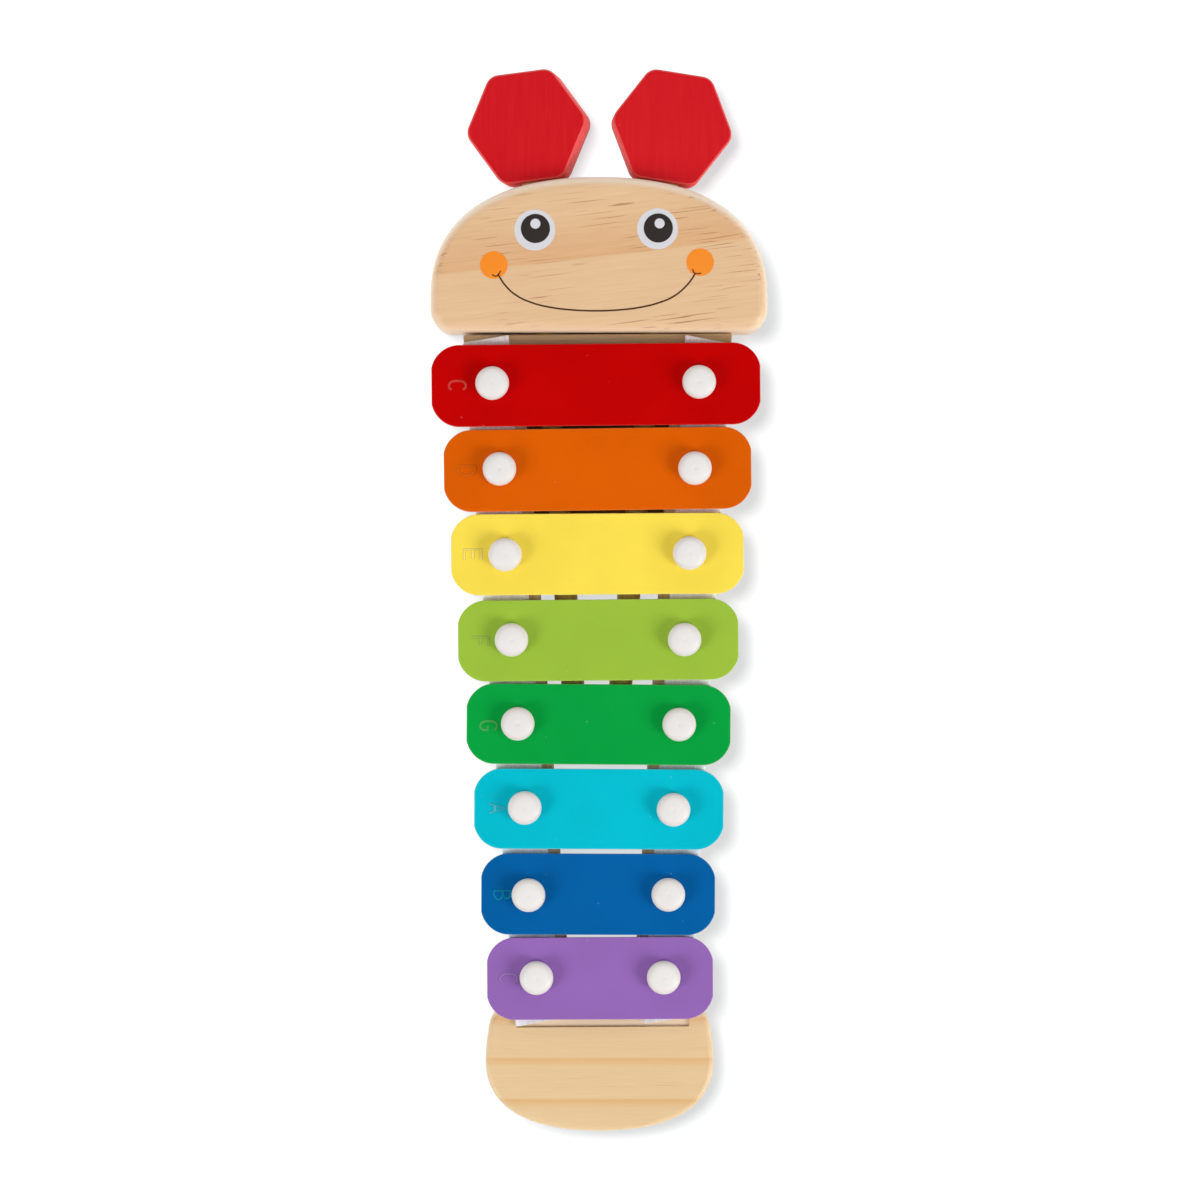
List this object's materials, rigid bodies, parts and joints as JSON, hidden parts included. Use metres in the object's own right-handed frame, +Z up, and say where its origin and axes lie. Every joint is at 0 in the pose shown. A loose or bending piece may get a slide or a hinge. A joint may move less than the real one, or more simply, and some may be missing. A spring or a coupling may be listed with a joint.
{
  "type": "toy xylophone",
  "caption": "Wooden toy xylophone on a tapered frame, with graded painted metal bars loose on white pins, a smiling head, a rounded tail and hexagonal mallets stored through the head.",
  "frame": {"origin": "on the surface it stands on, under the middle of the outline seen from above", "axes": "+Z up, +Y along the frame towards the head and mallets, +X to the right seen from above with the head at the top"},
  "size_m": [0.1234, 0.3902, 0.0315],
  "materials": {
    "pine_block": "satin clear lacquer on knot-free pine",
    "pine_frame": "bare sanded pine",
    "dowel_wood": "bare turned hardwood",
    "felt": "white wool felt",
    "pin_plastic": "satin moulded white",
    "mallet_red": "red lacquer on wood",
    "enamel_red": "gloss enamel",
    "enamel_orange": "gloss enamel",
    "enamel_yellow": "gloss enamel",
    "enamel_lime": "gloss enamel",
    "enamel_green": "gloss enamel",
    "enamel_turquoise": "gloss enamel",
    "enamel_blue": "gloss enamel",
    "enamel_purple": "gloss enamel"
  },
  "bodies": {
    "base": {"head_block": "pine_block", "tail_block": "pine_block", "front_cross_member": "pine_frame", "rear_cross_member": "pine_frame", "stick_tray": "pine_frame", "rail_left": "pine_frame", "rail_right": "pine_frame", "dowel_rail_front_left": "dowel_wood", "dowel_rail_front_right": "dowel_wood", "dowel_rail_rear_left": "dowel_wood", "dowel_rail_rear_right": "dowel_wood", "dowel_head_left": "dowel_wood", "dowel_head_right": "dowel_wood", "dowel_tail_left": "dowel_wood", "dowel_tail_right": "dowel_wood", "felt_left": "felt", "felt_right": "felt", "pin_c_low_left": "pin_plastic", "pin_c_low_right": "pin_plastic", "pin_d_left": "pin_plastic", "pin_d_right": "pin_plastic", "pin_e_left": "pin_plastic", "pin_e_right": "pin_plastic", "pin_f_left": "pin_plastic", "pin_f_right": "pin_plastic", "pin_g_left": "pin_plastic", "pin_g_right": "pin_plastic", "pin_a_left": "pin_plastic", "pin_a_right": "pin_plastic", "pin_b_left": "pin_plastic", "pin_b_right": "pin_plastic", "pin_c_high_left": "pin_plastic", "pin_c_high_right": "pin_plastic"},
    "loose_c_low": {"bar_c_low": "enamel_red"},
    "loose_d": {"bar_d": "enamel_orange"},
    "loose_e": {"bar_e": "enamel_yellow"},
    "loose_f": {"bar_f": "enamel_lime"},
    "loose_g": {"bar_g": "enamel_green"},
    "loose_a": {"bar_a": "enamel_turquoise"},
    "loose_b": {"bar_b": "enamel_blue"},
    "loose_c_high": {"bar_c_high": "enamel_purple"},
    "mallet_left": {"mallet_head_left": "mallet_red", "mallet_stick_left": "dowel_wood"},
    "mallet_right": {"mallet_head_right": "mallet_red", "mallet_stick_right": "dowel_wood"}
  },
  "joints": [
    {"name": "mallet_left_draw", "type": "slide", "parent": "base", "child": "mallet_left", "axis": [-0.0785, 0.9969, 0], "range_m": [0, 0.215]},
    {"name": "mallet_right_draw", "type": "slide", "parent": "base", "child": "mallet_right", "axis": [0.0906, 0.9959, 0], "range_m": [0, 0.215]},
    {"name": "c_low_lift", "type": "slide", "parent": "base", "child": "loose_c_low", "axis": [0, 0, 1], "range_m": [0, 0.0009]},
    {"name": "d_lift", "type": "slide", "parent": "base", "child": "loose_d", "axis": [0, 0, 1], "range_m": [0, 0.0009]},
    {"name": "e_lift", "type": "slide", "parent": "base", "child": "loose_e", "axis": [0, 0, 1], "range_m": [0, 0.0009]},
    {"name": "f_lift", "type": "slide", "parent": "base", "child": "loose_f", "axis": [0, 0, 1], "range_m": [0, 0.0009]},
    {"name": "g_lift", "type": "slide", "parent": "base", "child": "loose_g", "axis": [0, 0, 1], "range_m": [0, 0.0009]},
    {"name": "a_lift", "type": "slide", "parent": "base", "child": "loose_a", "axis": [0, 0, 1], "range_m": [0, 0.0009]},
    {"name": "b_lift", "type": "slide", "parent": "base", "child": "loose_b", "axis": [0, 0, 1], "range_m": [0, 0.0009]},
    {"name": "c_high_lift", "type": "slide", "parent": "base", "child": "loose_c_high", "axis": [0, 0, 1], "range_m": [0, 0.0009]}
  ]
}
